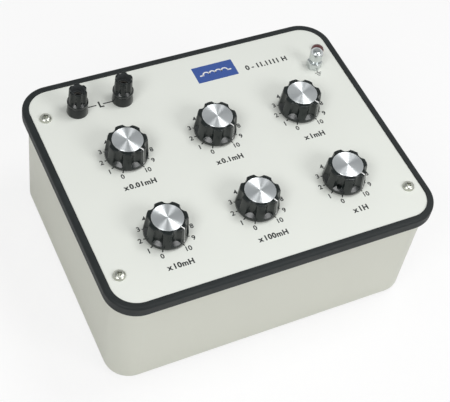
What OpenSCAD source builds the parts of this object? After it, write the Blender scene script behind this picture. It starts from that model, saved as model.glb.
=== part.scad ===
// Decade inductance box: six eleven-way switches on a panel, each with ten coils in series,
// two binding posts and an earth terminal.
// Origin at the middle of the footprint, on the surface that the feet stand on.
// X runs along the width, Y towards the terminals at the back, Z up. All sizes are in millimetres.

/* [Case] */
// Width of the panel that shows inside the trim
panel_w = 200; // [196:1:230]
// Depth of the panel that shows inside the trim
panel_d = 160.4; // [152:0.2:190]
// Corner radius of the panel that shows
panel_r = 15; // [12:0.5:20]
// Thickness of the panel
panel_t = 2; // [1.5:0.1:3]
// Height from the bottom of the case to the panel's top face
body_h = 80; // [70:1:110]
// Thickness of the case walls and floor
wall = 3; // [2.5:0.1:4]
// How far the case wall stands outside the panel that shows
wall_out = 0.5; // [0.3:0.1:0.9]
// Rounding of the case's bottom edge
base_round = 1.5; // [0.5:0.1:2.2]

/* [Trim] */
// Width of the rubber trim seen from above
trim_w = 4.2; // [3.6:0.1:6]
// How far the trim hangs below the panel's top face
trim_drop = 7; // [5:0.1:10]
// Height of the trim's lip above the panel
trim_lip = 0.8; // [0.6:0.1:1.5]
// How far the lip laps over the panel's edge
panel_lap = 1.2; // [1:0.1:1.8]
// Rounding of the trim's upper outer edge
trim_round = 1.6; // [0.8:0.1:1.9]

/* [Panel screws] */
// Distance from the panel's side edge to the screw
screw_inset_x = 7.6; // [6.5:0.1:10]
// Distance from the panel's front or back edge to the screw
screw_inset_y = 20.6; // [16:0.1:30]
// Radius of the screw head
screw_head_r = 3.6; // [3:0.1:4]
// Height of the screw head
screw_head_h = 2.4; // [1.8:0.1:3]
// Radius of the screw shank
screw_r = 1.75; // [1.4:0.05:2]
// Length of the screw below its head
screw_len = 14; // [10:0.5:20]
// Radius of the case bosses that take the screws
boss_r = 4.5; // [4:0.1:5]
// Thickness of the red lacquer over the sealed screw
seal_t = 0.4; // [0.3:0.1:0.8]

/* [Feet] */
// Height of the feet
foot_h = 3; // [2.5:0.1:5]
// Radius of the feet
foot_r = 7; // [6:0.1:9]
// Distance from the panel's edges to the middle of a foot
foot_inset = 19; // [15:0.5:26]
// Radius of the foot screw's shank
foot_screw_r = 1.45; // [1.2:0.05:1.8]

/* [Knobs] */
// Distance between knob columns
knob_pitch_x = 57.4; // [56:0.2:62]
// Distance between knob rows
knob_pitch_y = 59.4; // [56:0.2:64]
// How far the middle of the two rows lies in front of the panel's middle
knob_shift = 11.8; // [8:0.1:14]
// Radius of the knob at its skirt
knob_r = 13; // [12:0.1:15]
// Radius of the knob at its top
knob_top_r = 11.8; // [11.4:0.1:12]
// Height of the knob
knob_h = 13.2; // [12:0.1:16]
// Gap between the knob and the panel
knob_gap = 1.2; // [0.8:0.1:1.6]
// Number of flutes round the knob
knob_flutes = 7; // [5:1:9]
// Distance from the knob's axis to the bottom of a flute
flute_in = 10.2; // [9.9:0.1:10.8]
// Radius of a flute
flute_r = 3.5; // [3:0.1:5]
// Height of the skirt that the flutes leave standing at its edge
skirt_h = 2; // [1.6:0.1:3]
// Slope of the skirt inside a flute, in degrees
flute_slope = 40; // [30:1:50]
// Radius of the aluminium disc
disc_r = 9.2; // [8:0.1:9.4]
// Thickness of the aluminium disc
disc_t = 0.8; // [0.6:0.1:1.2]

/* [Switches] */
// Radius of the switch shaft
shaft_r = 3; // [2.5:0.05:3.2]
// Radius of the threaded bush
bush_r = 4.7; // [4.4:0.05:5]
// How far the bush stands above the panel
bush_up = 3; // [2.8:0.1:3.2]
// Thickness of the ring nut
ring_nut_h = 2; // [1.6:0.1:2.2]
// Width of the ring nut across its flats
ring_nut_af = 13; // [12:0.1:14]
// Thickness of the washer under the ring nut
ring_washer_t = 0.5; // [0.4:0.05:0.8]
// Radius of the switch's closed can
can_r = 16; // [15.5:0.1:16.4]
// Height of the can above its contact wafer
can_h = 12; // [11:0.1:16]
// Thickness of the contact wafer that closes the can
wafer_t = 1.6; // [1.2:0.1:2.4]
// Length of the lugs between the wafer and the board
lug_len = 3; // [2:0.1:5]

/* [Board and coils] */
// Thickness of the board
board_t = 1.6; // [1.2:0.1:2.4]
// Radius of the ring that the coils of one decade stand on
coil_ring_r = 21.8; // [21.4:0.1:22.4]
// Radius of a coil's end flange
coil_r = 4.4; // [3.5:0.1:5]
// Height of a coil
coil_h = 11; // [8:0.1:16]

/* [Binding posts] */
// Distance from the panel's left edge to the first post
post_inset_x = 27.6; // [24:0.1:34]
// Distance from the panel's back edge to the posts
post_inset_y = 20.7; // [18:0.1:24]
// Distance between the two posts
post_pitch = 29; // [19:0.1:34]
// Radius of the collar on the panel
collar_r = 6.5; // [6.2:0.1:7]
// Radius of the collar at its top
collar_top_r = 6; // [5.6:0.1:6.2]
// Height of the collar
collar_h = 6.8; // [6:0.1:8]
// Radius of the stud
stud_r = 3; // [2.8:0.05:3.2]
// Height of the stud above its collar
stud_up = 6.8; // [6.4:0.1:7.4]
// Radius of the plug socket
socket_r = 2; // [1.9:0.05:2.1]
// Depth of the plug socket
socket_depth = 13; // [11:0.5:13]
// Height of the screw cap
cap_h = 11.4; // [10.8:0.1:14]
// Radius of the screw cap's rim
cap_r = 6.4; // [6.2:0.1:7]
// Radius of the screw cap's lobes at their foot
cap_body_r = 5.9; // [5.7:0.1:6.1]
// Radius of the screw cap at its top
cap_top_r = 5.4; // [5.2:0.1:5.6]
// Number of flutes round the screw cap
cap_flutes = 6; // [5:1:8]
// Thickness of the clamp washer
clamp_t = 0.6; // [0.5:0.1:1]

/* [Earth terminal] */
// Distance from the panel's right edge to the earth terminal
earth_inset_x = 16.6; // [14:0.1:24]
// Distance from the panel's back edge to the earth terminal
earth_inset_y = 32.6; // [30:0.1:38]
// Width of the hexagonal base across its flats
earth_af = 8.6; // [8:0.1:10]
// Height of the hexagonal base
earth_base_h = 5; // [4:0.1:7]
// Radius of the earth stud
earth_r = 2; // [1.75:0.05:2.2]
// Radius of the thumb nut
thumb_r = 4.1; // [3.8:0.1:5]
// Height of the thumb nut
thumb_h = 8.6; // [7.8:0.1:12]

/* [Hidden] */
$fn = 64;

// Fits: pieces that turn, pieces that only sit in one another, and holes that a piece drops through
run_fit = 0.05;
snug = 0.03;
clear = 0.15;
// A little extra length for cuts that run out of a face
eps = 0.5;

// Heights of the main faces
panel_top = foot_h + body_h;
panel_under = panel_top - panel_t;

// Screw, foot and terminal places
screw_x = panel_w / 2 - screw_inset_x;
screw_y = panel_d / 2 - screw_inset_y;
foot_x = panel_w / 2 - foot_inset;
foot_y = panel_d / 2 - foot_inset;
post_y = panel_d / 2 - post_inset_y;
post_x = [for (i = [0, 1]) post_inset_x - panel_w / 2 + i * post_pitch];
earth_x = panel_w / 2 - earth_inset_x;
earth_y = panel_d / 2 - earth_inset_y;

// Case details
web_t = 2.4;
foot_boss_r = 4;
foot_boss_h = 5;
foot_taper = 0.8;
foot_head_r = 2.9;
foot_head_h = 1.2;
foot_head_sink = 0.4;

// Trim details
trim_lip_round = 0.4;
trim_low_round = 1;

// Screw details
recess_w = 1.1;
recess_len = 4;
recess_deep = 1.4;

// Decades: back row first, left to right; at rest every dial stands at its last position
columns = 3;
decades = 6;
positions = 11;
step = 30;
first_angle = 240;
rest_angle = first_angle - step * (positions - 1);
knob_at = [for (i = [0 : decades - 1])
    [(i % columns - 1) * knob_pitch_x, (i < columns ? 0.5 : -0.5) * knob_pitch_y - knob_shift]];
// Place of each knob's set screw, in flutes counted from the pointer
grub_flute = [2.5, 2.5, 2.5, 2.5, 2.5, -1.5];

// Knob details, heights above the panel
knob_chamfer = 0.4;
knob_edge = 1;
knob_top = knob_gap + knob_h;
knob_hollow_top = bush_up + 0.6;
knob_hollow_r = flute_in - 1.4;
disc_sink = 0.6;
shaft_end = knob_top - disc_sink - 1.2;
grub_r = 1.5;
grub_len = 6;
grub_z = knob_hollow_top + grub_r + 0.5;
grub_hex = 0.85;
grub_hex_deep = 2;
shaft_flat = 0.5;
grub_seat = shaft_r - shaft_flat + snug;

// Switch details, heights above the panel
can_wall = 1;
can_plate = 2;
wafer_top = -panel_t - can_h;
wafer_under = wafer_top - wafer_t;
board_top = wafer_under - lug_len;
board_under = board_top - board_t;
lug_r = 0.6;
lug_ring = can_r - 1.4;
lug_tail = 1;
lugs = 12;
rotor_r = 5.3;
rotor_h = 2;
rotor_gap = 0.3;
clip_w = 1.6;
clip_in = 6.6;
clip_out = can_r - can_wall - 0.4;
clip_h = 0.5;
arm_w = 2;
arm_t = 0.6;
arm_reach = 8.8;
shaft_foot = wafer_top + rotor_gap / 2;
ring_washer_r = ring_nut_af / 2 + 0.9;

// Board and coil details
board_gap = 1.4;
board_w = 2 * (screw_x - boss_r - board_gap);
board_d = panel_d + 2 * (wall_out - wall - board_gap);
board_r = 3;
coils = 10;
coil_flange = 1.4;
coil_groove = 0.9;
wire_r = 0.7;

// Terminal details, heights above the panel
spigot_r = stud_r + 1.2;
stud_flange_r = stud_r + 1.4;
stud_flange_h = 1.4;
cross_r = 0.9;
cross_z = collar_h + clamp_t + 2.2;
back_bush_h = 2.5;
tag_t = 0.8;
tag_w = 4;
tag_len = 10;
tag_end = 2;
post_nut_h = 3;
post_nut_af = 10;
stud_tail = 1.5;
stud_low = -panel_t - back_bush_h - tag_t - post_nut_h - stud_tail;
stud_top = collar_h + stud_up;
cap_low = collar_h + clamp_t;
cap_edge = 0.6;
cap_chamfer = 0.3;
cap_rim_h = 1.6;
cap_flute_r = 2.2;
cap_flute_in = cap_top_r - 0.85;
cap_cup_r = cap_flute_in - 0.6;
cap_cup_deep = cap_low + cap_h - stud_top - 0.6;
cap_turn = [15, 5];
clamp_r = collar_top_r - 0.3;
earth_nut_h = 3;
earth_nut_af = 7;
earth_tail = 1.5;
earth_low = -panel_t - tag_t - earth_nut_h - earth_tail;
earth_washer_t = 0.6;
earth_washer_r = 3.7;
thumb_low = earth_base_h + earth_washer_t;
thumb_top = thumb_low + thumb_h;
thumb_neck_r = 3;
thumb_neck_h = 1.2;
thumb_dome = 2.6;
thumb_wall = 2.2;
earth_up = thumb_top - thumb_wall - 0.6;

// A plate with round corners
module round_plate(w, d, r, h) {
    linear_extrude(h) {
        square([w - 2 * r, d], center = true);
        square([w, d - 2 * r], center = true);
        for (sx = [-1, 1], sy = [-1, 1])
            translate([sx * (w / 2 - r), sy * (d / 2 - r)])
                circle(r);
    }
}

// Carries a profile, x outwards and y up, round a rectangle with round corners
module round_frame(w, d, r) {
    for (turn = [0 : 3]) {
        across = turn % 2 == 0 ? w : d;
        along = turn % 2 == 0 ? d : w;
        rotate(90 * turn) {
            translate([across / 2, along / 2 - r, 0])
                rotate([90, 0, 0])
                    linear_extrude(along - 2 * r)
                        children();
            translate([across / 2 - r, along / 2 - r, 0])
                rotate_extrude(angle = 90)
                    translate([r, 0])
                        children();
        }
    }
}

// What a round of radius r takes off a square corner at the origin, the corner pointing to +x +y
module corner_waste(r) {
    translate([-r, -r])
        difference() {
            square(r + eps);
            circle(r);
        }
}

// A ring with flat faces, from z = low to z = high
module ring(r_out, r_in, low, high) {
    translate([0, 0, low])
        difference() {
            cylinder(r = r_out, h = high - low);
            translate([0, 0, -eps])
                cylinder(r = r_in, h = high - low + 2 * eps);
        }
}

// A hexagonal nut, from z = low to z = high
module hex_nut(across_flats, hole_r, low, high) {
    translate([0, 0, low])
        difference() {
            cylinder(d = across_flats / cos(30), h = high - low, $fn = 6);
            translate([0, 0, -eps])
                cylinder(r = hole_r, h = high - low + 2 * eps);
        }
}

// A straight-sided turned body that tapers from r_low to r_top, with its top edge rounded
module turned_body(r_low, r_top, h, chamfer, edge) {
    draft = atan((r_low - r_top) / (h - chamfer));
    edge_z = h - edge;
    edge_x = r_low - (edge_z - chamfer) * tan(draft) - edge / cos(draft);
    rotate_extrude() {
        polygon([
            [0, 0], [r_low - chamfer, 0], [r_low, chamfer],
            [edge_x + edge * cos(draft), edge_z + edge * sin(draft)],
            [edge_x, edge_z], [edge_x, h], [0, h]
        ]);
        translate([edge_x, edge_z])
            intersection() {
                circle(edge);
                square(edge);
            }
    }
}

// The head of a pan-head screw, without its recess
module pan_head(r, h) {
    turned_body(r, r - h / 4, h, h / 8, h / 2);
}

// Scoops round a fluted body, from z = low out of its top
module scoops(count, inner, radius, low, h) {
    for (i = [0 : count - 1])
        rotate((i + 0.5) * 360 / count)
            translate([inner + radius, 0, low])
                cylinder(r = radius, h = h - low + eps);
}

// A cone that narrows upwards from r_edge at z = 0 to r_top, and runs on below z = 0
module slope(r_edge, r_top) {
    translate([0, 0, -eps])
        cylinder(r1 = r_edge + eps / tan(flute_slope), r2 = r_top,
                 h = eps + (r_edge - r_top) * tan(flute_slope));
}

// Pan head with its top edge rounded over, and its shank below z = 0
module pan_screw(head_r, head_h, shank_r, length) {
    difference() {
        pan_head(head_r, head_h);
        for (turn = [0, 90])
            rotate(turn)
                translate([-recess_len / 2, -recess_w / 2, head_h - recess_deep])
                    cube([recess_len, recess_w, recess_deep + eps]);
    }
    translate([0, 0, -length])
        cylinder(r = shank_r, h = length);
}

// Solder tag: an eye round the stud and a tongue towards -y
module solder_tag(hole_r) {
    linear_extrude(tag_t)
        difference() {
            union() {
                circle(hole_r + tag_end);
                translate([-tag_w / 2, -tag_len])
                    square([tag_w, tag_len]);
            }
            circle(hole_r);
        }
}

// Puts the children at the four places (+-x, +-y)
module four_corners(x, y) {
    for (sx = [-1, 1], sy = [-1, 1])
        translate([sx * x, sy * y, 0])
            children();
}

// Puts the children at a decade's place, on the panel's top face
module at_decade(i) {
    translate([knob_at[i][0], knob_at[i][1], panel_top])
        children();
}

// Puts the children at both posts, on the panel's top face
module at_posts() {
    for (x = post_x)
        translate([x, post_y, panel_top])
            children();
}

module wall_profile() {
    difference() {
        translate([wall_out - wall, foot_h])
            square([wall, panel_under - foot_h]);
        translate([wall_out, foot_h])
            mirror([0, 1])
                corner_waste(base_round);
    }
}

module case() {
    inner_x = panel_w / 2 + wall_out - wall;
    floor_out = 2 * (wall_out - base_round);
    color("ivory")
        difference() {
            union() {
                round_frame(panel_w, panel_d, panel_r)
                    wall_profile();
                translate([0, 0, foot_h])
                    round_plate(panel_w + floor_out, panel_d + floor_out, panel_r + floor_out / 2, wall);
                four_corners(screw_x, screw_y)
                    translate([0, 0, foot_h])
                        cylinder(r = boss_r, h = panel_under - foot_h);
                for (sx = [-1, 1], sy = [-1, 1])
                    translate([sx * (screw_x + inner_x + wall / 2) / 2, sy * screw_y, 0])
                        translate([0, 0, (foot_h + panel_under) / 2])
                            cube([inner_x + wall / 2 - screw_x, web_t, panel_under - foot_h], center = true);
                four_corners(foot_x, foot_y)
                    translate([0, 0, foot_h])
                        cylinder(r = foot_boss_r, h = wall + foot_boss_h);
            }
            four_corners(screw_x, screw_y)
                translate([0, 0, panel_top - screw_len - 1])
                    cylinder(r = screw_r + snug, h = screw_len + eps);
            four_corners(foot_x, foot_y)
                translate([0, 0, foot_h - eps])
                    cylinder(r = foot_screw_r + snug, h = wall + foot_boss_h + 2 * eps);
        }
}

module trim_profile() {
    difference() {
        translate([0, -trim_drop])
            square([trim_w, trim_drop + trim_lip]);
        translate([-eps, -panel_t])
            square([panel_lap + snug + eps, panel_t]);
        translate([-eps, -trim_drop - eps])
            square([wall_out + snug + eps, trim_drop - panel_t + eps]);
        translate([trim_w, trim_lip])
            corner_waste(trim_round);
        translate([0, trim_lip])
            mirror([1, 0])
                corner_waste(trim_lip_round);
        translate([trim_w, -trim_drop])
            mirror([0, 1])
                corner_waste(trim_low_round);
    }
}

module rim_trim() {
    color("#2b2e30")
        translate([0, 0, panel_top])
            round_frame(panel_w, panel_d, panel_r)
                trim_profile();
}

module front_panel() {
    color("#dfe2d8")
        difference() {
            translate([0, 0, panel_under])
                round_plate(panel_w + 2 * panel_lap, panel_d + 2 * panel_lap, panel_r + panel_lap, panel_t);
            four_corners(screw_x, screw_y)
                translate([0, 0, panel_under - eps])
                    cylinder(r = screw_r + clear, h = panel_t + 2 * eps);
            for (i = [0 : decades - 1])
                at_decade(i)
                    translate([0, 0, -panel_t - eps])
                        cylinder(r = bush_r + clear, h = panel_t + 2 * eps);
            at_posts()
                translate([0, 0, -panel_t - eps])
                    cylinder(r = spigot_r + clear, h = panel_t + 2 * eps);
            translate([earth_x, earth_y, panel_under - eps])
                cylinder(r = earth_r + clear, h = panel_t + 2 * eps);
        }
}

module panel_screws() {
    color("silver")
        four_corners(screw_x, screw_y)
            translate([0, 0, panel_top])
                pan_screw(screw_head_r, screw_head_h, screw_r, screw_len);
}

// A dome of lacquer over the screw head at the back right corner
module screw_seal() {
    color("#7a2f2c")
        translate([screw_x, screw_y, panel_top])
            difference() {
                pan_head(screw_head_r + seal_t, screw_head_h + seal_t);
                translate([0, 0, -snug])
                    pan_head(screw_head_r + snug, screw_head_h + 2 * snug);
            }
}

module feet() {
    color("#303030")
        four_corners(foot_x, foot_y)
            difference() {
                cylinder(r1 = foot_r - foot_taper, r2 = foot_r, h = foot_h);
                translate([0, 0, -eps])
                    cylinder(r = foot_head_r + clear, h = foot_head_sink + foot_head_h + eps);
                translate([0, 0, -eps])
                    cylinder(r = foot_screw_r + clear, h = foot_h + 2 * eps);
            }
}

module foot_screws() {
    color("silver")
        four_corners(foot_x, foot_y)
            translate([0, 0, foot_head_sink]) {
                cylinder(r = foot_head_r, h = foot_head_h);
                cylinder(r = foot_screw_r, h = foot_h - foot_head_sink + wall + foot_boss_h - 1);
            }
}

module switch_nuts() {
    color("silver")
        for (i = [0 : decades - 1])
            at_decade(i)
                hex_nut(ring_nut_af, bush_r + snug, ring_washer_t, ring_washer_t + ring_nut_h);
}

module switch_washers() {
    color("gray")
        for (i = [0 : decades - 1])
            at_decade(i)
                ring(ring_washer_r, bush_r + snug, 0, ring_washer_t);
}

// Bush, can closed by the contact wafer, its clips, and the lugs that go into the board
module switch_body(i) {
    color("#8a7a5c")
        at_decade(i)
            difference() {
                union() {
                    translate([0, 0, -panel_t - eps])
                        cylinder(r = bush_r, h = panel_t + bush_up + eps);
                    difference() {
                        translate([0, 0, wafer_under])
                            cylinder(r = can_r, h = wafer_t + can_h);
                        translate([0, 0, wafer_top])
                            cylinder(r = can_r - can_wall, h = can_h - can_plate);
                    }
                    for (lug = [0 : lugs - 1])
                        rotate(first_angle - step * lug) {
                            translate([lug_ring, 0, board_under - lug_tail])
                                cylinder(r = lug_r, h = wafer_top - board_under + lug_tail - wafer_t / 2);
                            translate([clip_in, -clip_w / 2, wafer_top - wafer_t / 2])
                                cube([clip_out - clip_in, clip_w, clip_h + wafer_t / 2]);
                        }
                }
                translate([0, 0, -panel_t - can_plate - eps])
                    cylinder(r = shaft_r + run_fit, h = can_plate + panel_t + bush_up + 2 * eps);
            }
}

// Spindle with the rotor inside the can and the arm that sweeps over the clips
module switch_shaft(i) {
    grub_angle = rest_angle + grub_flute[i] * 360 / knob_flutes;
    arm_z = wafer_top + clip_h + rotor_gap;
    color("#b9a26a")
        at_decade(i) {
            difference() {
                translate([0, 0, shaft_foot])
                    cylinder(r = shaft_r, h = shaft_end - shaft_foot);
                rotate(grub_angle)
                    translate([shaft_r - shaft_flat, -shaft_r, knob_hollow_top])
                        cube([shaft_r, 2 * shaft_r, knob_h]);
            }
            translate([0, 0, shaft_foot + rotor_gap])
                cylinder(r = rotor_r, h = rotor_h);
            rotate(rest_angle)
                translate([0, -arm_w / 2, arm_z])
                    cube([arm_reach, arm_w, arm_t]);
        }
}

module coil_board() {
    color("#3f7d4f")
        difference() {
            translate([0, 0, panel_top + board_under])
                round_plate(board_w, board_d, board_r, board_t);
            for (i = [0 : decades - 1], lug = [0 : lugs - 1])
                at_decade(i)
                    rotate(first_angle - step * lug)
                        translate([lug_ring, 0, board_under - eps])
                            cylinder(r = lug_r + clear, h = board_t + 2 * eps);
        }
}

// Ten wound drums in a ring under the board
module decade_coils(i) {
    color("#a5623a")
        at_decade(i)
            for (coil = [0 : coils - 1])
                rotate(coil * 360 / coils)
                    translate([coil_ring_r, 0, board_under - coil_h])
                        difference() {
                            cylinder(r = coil_r, h = coil_h);
                            ring(coil_r + eps, coil_r - coil_groove, coil_flange, coil_h - coil_flange);
                        }
}

// Seven-lobed knob whose flutes end on a sloped skirt, hollow below for the switch's ring nut
module knob(i) {
    grub_angle = rest_angle + grub_flute[i] * 360 / knob_flutes;
    color("#26282a")
        at_decade(i)
            difference() {
                translate([0, 0, knob_gap])
                    rotate(rest_angle)
                        difference() {
                            turned_body(knob_r, knob_top_r, knob_h, knob_chamfer, knob_edge);
                            difference() {
                                scoops(knob_flutes, flute_in, flute_r, skirt_h, knob_h);
                                translate([0, 0, skirt_h])
                                    slope(knob_r, flute_in - eps);
                            }
                        }
                translate([0, 0, knob_gap - eps])
                    cylinder(r = knob_hollow_r, h = knob_hollow_top - knob_gap + eps);
                translate([0, 0, knob_gap])
                    cylinder(r = shaft_r + snug, h = shaft_end - knob_gap);
                translate([0, 0, knob_top - disc_sink])
                    cylinder(r = disc_r + snug, h = disc_sink + eps);
                rotate(grub_angle)
                    translate([0, 0, grub_z])
                        rotate([0, 90, 0])
                            cylinder(r = grub_r + snug, h = knob_r + eps);
            }
}

module knob_cap(i) {
    color("#d9dadc")
        at_decade(i)
            translate([0, 0, knob_top - disc_sink])
                cylinder(r = disc_r, h = disc_t);
}

module grub_screw(i) {
    grub_angle = rest_angle + grub_flute[i] * 360 / knob_flutes;
    color("dimgray")
        at_decade(i)
            rotate(grub_angle)
                translate([grub_seat, 0, grub_z])
                    rotate([0, 90, 0])
                        difference() {
                            cylinder(r = grub_r, h = grub_len);
                            translate([0, 0, grub_len - grub_hex_deep])
                                cylinder(r = grub_hex, h = grub_hex_deep + eps, $fn = 6);
                        }
}

module post_collars() {
    color("#26282a")
        at_posts()
            difference() {
                union() {
                    turned_body(collar_r, collar_top_r, collar_h, cap_chamfer, cap_chamfer);
                    translate([0, 0, -panel_t])
                        cylinder(r = spigot_r, h = panel_t + eps);
                }
                translate([0, 0, -panel_t - eps])
                    cylinder(r = stud_r + snug, h = panel_t + collar_h + 2 * eps);
                translate([0, 0, collar_h - stud_flange_h])
                    cylinder(r = stud_flange_r + snug, h = stud_flange_h + eps);
            }
}

// Hollow studs: a 4 mm socket from the top and a cross hole for a bare wire
module post_studs() {
    color("#c9b37a")
        at_posts()
            difference() {
                union() {
                    translate([0, 0, stud_low])
                        cylinder(r = stud_r, h = stud_top - stud_low);
                    translate([0, 0, collar_h - stud_flange_h])
                        cylinder(r = stud_flange_r, h = stud_flange_h);
                }
                translate([0, 0, stud_top - socket_depth])
                    cylinder(r = socket_r, h = socket_depth + eps);
                translate([0, 0, cross_z])
                    rotate([90, 0, 0])
                        cylinder(r = cross_r, h = 4 * stud_r, center = true);
            }
}

module post_back_bushes() {
    color("#26282a")
        at_posts()
            ring(collar_r, stud_r + snug, -panel_t - back_bush_h, -panel_t);
}

module post_nuts() {
    nut_top = -panel_t - back_bush_h - tag_t;
    color("silver")
        at_posts()
            hex_nut(post_nut_af, stud_r + snug, nut_top - post_nut_h, nut_top);
}

module solder_tags() {
    color("#c8c8c0") {
        at_posts()
            translate([0, 0, -panel_t - back_bush_h - tag_t])
                solder_tag(stud_r + snug);
        translate([earth_x, earth_y, panel_under - tag_t])
            solder_tag(earth_r + snug);
    }
}

// Straight leads from the ends of the tags down to the board
module hookup_wires() {
    post_lead = -panel_t - back_bush_h - tag_t - board_top;
    earth_lead = -panel_t - tag_t - board_top;
    color("#b03030") {
        at_posts()
            translate([0, tag_end - tag_len, board_top])
                cylinder(r = wire_r, h = post_lead);
        translate([earth_x, earth_y + tag_end - tag_len, panel_top + board_top])
            cylinder(r = wire_r, h = earth_lead);
    }
}

// The rim of a screw cap, which slopes up to the bottoms of the flutes
module cap_rim() {
    core_r = cap_flute_in - eps;
    core_z = cap_rim_h + (cap_r - core_r) * tan(flute_slope);
    rotate_extrude()
        polygon([
            [0, 0], [cap_r - cap_chamfer, 0], [cap_r, cap_chamfer], [cap_r, cap_rim_h],
            [core_r, core_z], [0, core_z]
        ]);
}

module post_cap(i) {
    color("#26282a")
        translate([post_x[i], post_y, panel_top + cap_low])
            rotate(cap_turn[i])
                difference() {
                    union() {
                        cap_rim();
                        difference() {
                            translate([0, 0, cap_chamfer])
                                turned_body(cap_body_r, cap_top_r, cap_h - cap_chamfer, cap_chamfer, cap_edge);
                            scoops(cap_flutes, cap_flute_in, cap_flute_r, cap_rim_h / 2, cap_h);
                        }
                    }
                    translate([0, 0, -eps])
                        cylinder(r = stud_r + run_fit, h = cap_h + 2 * eps);
                    translate([0, 0, cap_h - cap_cup_deep])
                        cylinder(r = cap_cup_r, h = cap_cup_deep + eps);
                }
}

module post_washer(i) {
    color("silver")
        translate([post_x[i], post_y, panel_top])
            ring(clamp_r, stud_r + run_fit, collar_h, collar_h + clamp_t);
}

module earth_base() {
    color("gainsboro")
        translate([earth_x, earth_y, panel_top]) {
            hex_nut(earth_af, earth_r - eps, 0, earth_base_h);
            translate([0, 0, earth_low])
                cylinder(r = earth_r, h = earth_up - earth_low);
        }
}

module earth_rear_nut() {
    nut_top = -panel_t - tag_t;
    color("silver")
        translate([earth_x, earth_y, panel_top])
            hex_nut(earth_nut_af, earth_r + snug, nut_top - earth_nut_h, nut_top);
}

// Round thumb nut with a domed top, closed above the stud
module earth_cap() {
    color("gainsboro")
        translate([earth_x, earth_y, panel_top + thumb_low])
            difference() {
                union() {
                    cylinder(r = thumb_neck_r, h = thumb_neck_h + eps);
                    translate([0, 0, thumb_neck_h])
                        turned_body(thumb_r, thumb_r, thumb_h - thumb_neck_h, cap_edge, thumb_dome);
                }
                translate([0, 0, -eps])
                    cylinder(r = earth_r + run_fit, h = thumb_h - thumb_wall + eps);
            }
}

module earth_washer() {
    color("silver")
        translate([earth_x, earth_y, panel_top])
            ring(earth_washer_r, earth_r + run_fit, earth_base_h, earth_base_h + earth_washer_t);
}

case();
rim_trim();
front_panel();
panel_screws();
screw_seal();
feet();
foot_screws();
switch_nuts();
switch_washers();
coil_board();
post_collars();
post_studs();
post_back_bushes();
post_nuts();
solder_tags();
hookup_wires();
earth_base();
earth_rear_nut();
earth_cap();
earth_washer();
for (i = [0 : decades - 1]) {
    switch_body(i);
    switch_shaft(i);
    decade_coils(i);
    knob(i);
    knob_cap(i);
    grub_screw(i);
}
for (i = [0, 1]) {
    post_cap(i);
    post_washer(i);
}
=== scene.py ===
"""Decade inductance box: the looks of its pieces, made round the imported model.

The file is laid out as an add-on and is run as a script. Lengths are in metres, in the model's own frame:
X along the width, Y to the back where the terminals are, Z up.
"""

import math

import bmesh
import bpy
from bpy.props import FloatProperty, FloatVectorProperty, IntProperty, PointerProperty
from mathutils import Matrix, Quaternion, Vector


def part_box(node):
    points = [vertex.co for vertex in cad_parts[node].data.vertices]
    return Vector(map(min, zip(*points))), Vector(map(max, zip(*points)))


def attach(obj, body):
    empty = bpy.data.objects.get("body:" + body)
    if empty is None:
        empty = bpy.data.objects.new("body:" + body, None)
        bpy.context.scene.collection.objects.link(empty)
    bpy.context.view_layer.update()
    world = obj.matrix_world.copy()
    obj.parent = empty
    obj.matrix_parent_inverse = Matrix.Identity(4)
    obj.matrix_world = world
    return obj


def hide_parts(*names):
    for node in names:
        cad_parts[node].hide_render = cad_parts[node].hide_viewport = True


bl_info = {
    "name": "Decade Box",
    "version": (1, 0, 0),
    "blender": (4, 5, 0),
    "location": "View3D > Sidebar > Decade Box",
    "description": "Makes the pieces, finishes and stage of a bench decade box round its packed model",
    "category": "Object",
}

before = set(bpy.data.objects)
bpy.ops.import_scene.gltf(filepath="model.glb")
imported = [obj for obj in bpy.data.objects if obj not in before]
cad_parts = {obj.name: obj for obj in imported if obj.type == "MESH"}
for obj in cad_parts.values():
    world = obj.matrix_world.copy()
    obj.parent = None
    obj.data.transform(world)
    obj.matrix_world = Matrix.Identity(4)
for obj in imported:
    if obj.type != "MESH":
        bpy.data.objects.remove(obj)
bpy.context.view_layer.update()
MM = 0.001

PANEL_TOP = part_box("front_panel")[1].z
DECADES = range(1, 7)
POST_NUMBERS = (1, 2)
MULTIPLIERS = ("x0.01mH", "x0.1mH", "x1mH", "x10mH", "x100mH", "x1H")
RANGE_TEXT = "0 - 11.1111 H"
# Flute that holds each knob's set screw, counted in lobes from the pointer
SET_SCREW_FLUTES = (2.5, 2.5, 2.5, 2.5, 2.5, -1.5)


def middle(node):
    """Middle of a node seen from above, on the panel's top face."""
    low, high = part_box(node)
    return Vector(((low.x + high.x) / 2, (low.y + high.y) / 2, PANEL_TOP))


def half_width(node):
    low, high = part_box(node)
    return (high.x - low.x) / 2


def foot_of(node):
    """Height of a node's lowest point above the panel."""
    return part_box(node)[0].z - PANEL_TOP


def head_of(node):
    """Height of a node's highest point above the panel."""
    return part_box(node)[1].z - PANEL_TOP


DIALS = [middle(f"knob_cap_{i}") for i in DECADES]
POSTS = [middle(f"post_washer_{i}") for i in POST_NUMBERS]
EARTH = middle("earth_washer")
SEALED_SCREW = middle("screw_seal")
SCREWS = [Vector((x * SEALED_SCREW.x, y * SEALED_SCREW.y, PANEL_TOP)) for x in (-1, 1) for y in (-1, 1)]


def length(name, description, default):
    return FloatProperty(name=name, description=description, default=default, unit="LENGTH", precision=5)


def angle(name, description, degrees):
    return FloatProperty(name=name, description=description, default=math.radians(degrees), subtype="ANGLE")


def number(name, description, default):
    return FloatProperty(name=name, description=description, default=default)


def colour(name, description, default):
    return FloatVectorProperty(
        name=name, description=description, default=default, size=3, subtype="COLOR", min=0.0, max=1.0
    )


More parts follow.
